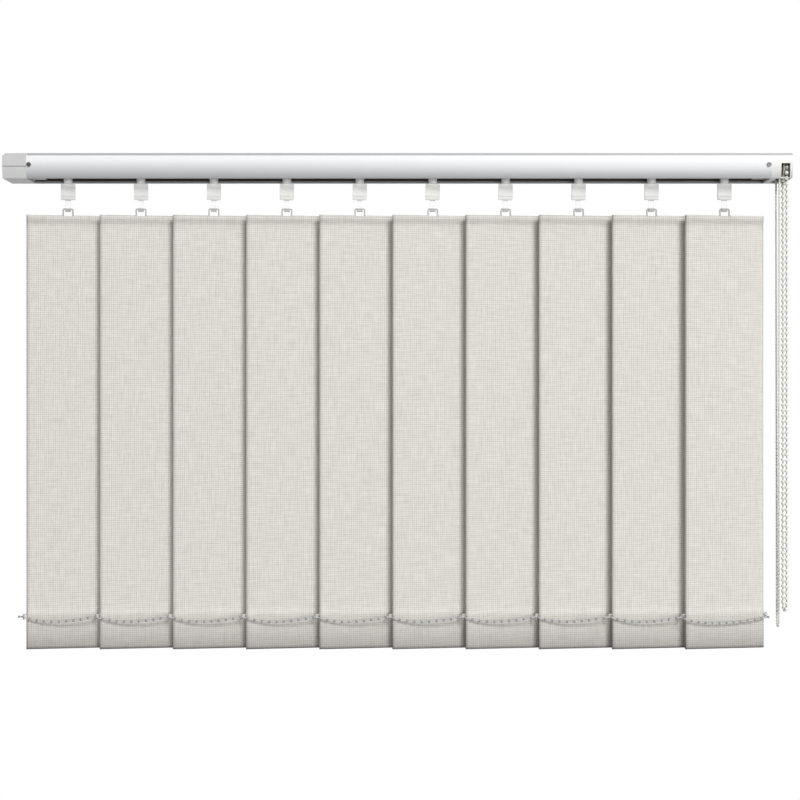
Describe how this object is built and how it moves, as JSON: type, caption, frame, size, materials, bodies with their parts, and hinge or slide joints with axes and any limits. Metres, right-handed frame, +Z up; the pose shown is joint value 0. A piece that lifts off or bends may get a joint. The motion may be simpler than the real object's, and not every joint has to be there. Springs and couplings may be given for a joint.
{
  "type": "vertical blind",
  "caption": "Vertical blind: a ceiling-fixed headrail with hanging cloth slats that turn on a bead chain and draw to one side on a pull cord.",
  "frame": {"origin": "ceiling plane at the middle of the headrail, between the two ceiling screws", "axes": "+X along the rail to the control end, -Y to the room, +Z up to the ceiling"},
  "size_m": [0.856, 0.0453, 0.5399],
  "materials": {
    "rail_lacquer": "satin lacquer",
    "white_plastic": "satin",
    "cap_plastic": "satin",
    "screw_steel": "dark plated",
    "inner_plastic": "matt",
    "hook_plastic": "translucent, satin",
    "clip_steel": "zinc plated",
    "rod_aluminium": "extruded",
    "slat_cloth": "woven, matt",
    "weight_plastic": "matt",
    "bead_plastic": "glossy",
    "cord_fibre": "twisted"
  },
  "bodies": {
    "rail": {"headrail": "rail_lacquer", "ceiling_clips": "clip_steel", "return_end_cap": "cap_plastic", "return_pulley_pin": "clip_steel", "control_housing": "white_plastic", "control_cover": "white_plastic", "guide_pulley_pins": "clip_steel", "end_screws": "screw_steel", "control_chain": "bead_plastic", "pull_cord": "cord_fibre", "carrier_10": "inner_plastic"},
    "tilt_drive": {"tilt_rod": "rod_aluminium", "chain_wheel": "inner_plastic"},
    "return_sheave": {"return_pulley": "inner_plastic"},
    "front_sheave": {"front_guide_pulley": "inner_plastic"},
    "rear_sheave": {"rear_guide_pulley": "inner_plastic"},
    "traveller_01": {"carrier_01": "inner_plastic"},
    "traveller_02": {"carrier_02": "inner_plastic"},
    "traveller_03": {"carrier_03": "inner_plastic"},
    "traveller_04": {"carrier_04": "inner_plastic"},
    "traveller_05": {"carrier_05": "inner_plastic"},
    "traveller_06": {"carrier_06": "inner_plastic"},
    "traveller_07": {"carrier_07": "inner_plastic"},
    "traveller_08": {"carrier_08": "inner_plastic"},
    "traveller_09": {"carrier_09": "inner_plastic"},
    "louvre_01": {"hook_and_hanger_01": "hook_plastic", "slat_01": "slat_cloth", "weight_01": "weight_plastic"},
    "louvre_02": {"hook_and_hanger_02": "hook_plastic", "slat_02": "slat_cloth", "weight_02": "weight_plastic"},
    "louvre_03": {"hook_and_hanger_03": "hook_plastic", "slat_03": "slat_cloth", "weight_03": "weight_plastic"},
    "louvre_04": {"hook_and_hanger_04": "hook_plastic", "slat_04": "slat_cloth", "weight_04": "weight_plastic"},
    "louvre_05": {"hook_and_hanger_05": "hook_plastic", "slat_05": "slat_cloth", "weight_05": "weight_plastic"},
    "louvre_06": {"hook_and_hanger_06": "hook_plastic", "slat_06": "slat_cloth", "weight_06": "weight_plastic"},
    "louvre_07": {"hook_and_hanger_07": "hook_plastic", "slat_07": "slat_cloth", "weight_07": "weight_plastic"},
    "louvre_08": {"hook_and_hanger_08": "hook_plastic", "slat_08": "slat_cloth", "weight_08": "weight_plastic"},
    "louvre_09": {"hook_and_hanger_09": "hook_plastic", "slat_09": "slat_cloth", "weight_09": "weight_plastic"},
    "louvre_10": {"hook_and_hanger_10": "hook_plastic", "slat_10": "slat_cloth", "weight_10": "weight_plastic", "spacer_chain_tail": "bead_plastic"},
    "front_spacer": {"front_spacer_chain": "bead_plastic"},
    "rear_spacer": {"rear_spacer_chain": "bead_plastic"}
  },
  "joints": [
    {"name": "traverse_01", "type": "slide", "parent": "rail", "child": "traveller_01", "axis": [1, 0, 0], "range_m": [0, 0.504], "deforming": ["front_spacer_chain", "rear_spacer_chain"]},
    {"name": "traverse_02", "type": "slide", "parent": "rail", "child": "traveller_02", "axis": [1, 0, 0], "range_m": [0, 0.448]},
    {"name": "traverse_03", "type": "slide", "parent": "rail", "child": "traveller_03", "axis": [1, 0, 0], "range_m": [0, 0.392]},
    {"name": "traverse_04", "type": "slide", "parent": "rail", "child": "traveller_04", "axis": [1, 0, 0], "range_m": [0, 0.336]},
    {"name": "traverse_05", "type": "slide", "parent": "rail", "child": "traveller_05", "axis": [1, 0, 0], "range_m": [0, 0.28]},
    {"name": "traverse_06", "type": "slide", "parent": "rail", "child": "traveller_06", "axis": [1, 0, 0], "range_m": [0, 0.224]},
    {"name": "traverse_07", "type": "slide", "parent": "rail", "child": "traveller_07", "axis": [1, 0, 0], "range_m": [0, 0.168]},
    {"name": "traverse_08", "type": "slide", "parent": "rail", "child": "traveller_08", "axis": [1, 0, 0], "range_m": [0, 0.112]},
    {"name": "traverse_09", "type": "slide", "parent": "rail", "child": "traveller_09", "axis": [1, 0, 0], "range_m": [0, 0.056]},
    {"name": "tilt_01", "type": "hinge", "parent": "traveller_01", "child": "louvre_01", "pos_m": [-0.363, 0, 0], "axis": [0, 0, 1], "range_deg": [0, 164]},
    {"name": "tilt_02", "type": "hinge", "parent": "traveller_02", "child": "louvre_02", "pos_m": [-0.283, 0, 0], "axis": [0, 0, 1], "range_deg": [0, 164]},
    {"name": "tilt_03", "type": "hinge", "parent": "traveller_03", "child": "louvre_03", "pos_m": [-0.203, 0, 0], "axis": [0, 0, 1], "range_deg": [0, 164]},
    {"name": "tilt_04", "type": "hinge", "parent": "traveller_04", "child": "louvre_04", "pos_m": [-0.123, 0, 0], "axis": [0, 0, 1], "range_deg": [0, 164]},
    {"name": "tilt_05", "type": "hinge", "parent": "traveller_05", "child": "louvre_05", "pos_m": [-0.043, 0, 0], "axis": [0, 0, 1], "range_deg": [0, 164]},
    {"name": "tilt_06", "type": "hinge", "parent": "traveller_06", "child": "louvre_06", "pos_m": [0.037, 0, 0], "axis": [0, 0, 1], "range_deg": [0, 164]},
    {"name": "tilt_07", "type": "hinge", "parent": "traveller_07", "child": "louvre_07", "pos_m": [0.117, 0, 0], "axis": [0, 0, 1], "range_deg": [0, 164]},
    {"name": "tilt_08", "type": "hinge", "parent": "traveller_08", "child": "louvre_08", "pos_m": [0.197, 0, 0], "axis": [0, 0, 1], "range_deg": [0, 164]},
    {"name": "tilt_09", "type": "hinge", "parent": "traveller_09", "child": "louvre_09", "pos_m": [0.277, 0, 0], "axis": [0, 0, 1], "range_deg": [0, 164]},
    {"name": "tilt_10", "type": "hinge", "parent": "rail", "child": "louvre_10", "pos_m": [0.357, 0, 0], "axis": [0, 0, 1], "range_deg": [0, 164]},
    {"name": "rod_turn", "type": "hinge", "parent": "rail", "child": "tilt_drive", "pos_m": [0, -0.0087, -0.0146], "axis": [1, 0, 0], "range_deg": [0, 1968]},
    {"name": "front_spacer_swing", "type": "hinge", "parent": "louvre_01", "child": "front_spacer", "pos_m": [-0.41004, -0.00661, -0.503], "axis": [0, 0, 1], "range_deg": [-164, 0]},
    {"name": "rear_spacer_swing", "type": "hinge", "parent": "louvre_01", "child": "rear_spacer", "pos_m": [-0.31596, 0.00661, -0.503], "axis": [0, 0, 1], "range_deg": [-164, 0]},
    {"name": "return_turn", "type": "hinge", "parent": "rail", "child": "return_sheave", "pos_m": [-0.4085, 0, -0.0093], "axis": [0, 0, 1], "continuous": true},
    {"name": "front_guide_turn", "type": "hinge", "parent": "rail", "child": "front_sheave", "pos_m": [0.4085, -0.0152, -0.0143], "axis": [0, 1, 0], "continuous": true},
    {"name": "rear_guide_turn", "type": "hinge", "parent": "rail", "child": "rear_sheave", "pos_m": [0.4125, 0.0152, -0.0143], "axis": [0, 1, 0], "continuous": true}
  ],
  "couplings": [
    {"joint": "traverse_02", "follows": "traverse_01", "ratio": 0.88889},
    {"joint": "traverse_03", "follows": "traverse_01", "ratio": 0.77778},
    {"joint": "traverse_04", "follows": "traverse_01", "ratio": 0.66667},
    {"joint": "traverse_05", "follows": "traverse_01", "ratio": 0.55556},
    {"joint": "traverse_06", "follows": "traverse_01", "ratio": 0.44444},
    {"joint": "traverse_07", "follows": "traverse_01", "ratio": 0.33333},
    {"joint": "traverse_08", "follows": "traverse_01", "ratio": 0.22222},
    {"joint": "traverse_09", "follows": "traverse_01", "ratio": 0.11111},
    {"joint": "tilt_02", "follows": "tilt_01", "ratio": 1},
    {"joint": "tilt_03", "follows": "tilt_01", "ratio": 1},
    {"joint": "tilt_04", "follows": "tilt_01", "ratio": 1},
    {"joint": "tilt_05", "follows": "tilt_01", "ratio": 1},
    {"joint": "tilt_06", "follows": "tilt_01", "ratio": 1},
    {"joint": "tilt_07", "follows": "tilt_01", "ratio": 1},
    {"joint": "tilt_08", "follows": "tilt_01", "ratio": 1},
    {"joint": "tilt_09", "follows": "tilt_01", "ratio": 1},
    {"joint": "tilt_10", "follows": "tilt_01", "ratio": 1},
    {"joint": "rod_turn", "follows": "tilt_01", "ratio": 12},
    {"joint": "front_spacer_swing", "follows": "tilt_01", "ratio": -1},
    {"joint": "rear_spacer_swing", "follows": "tilt_01", "ratio": -1}
  ]
}
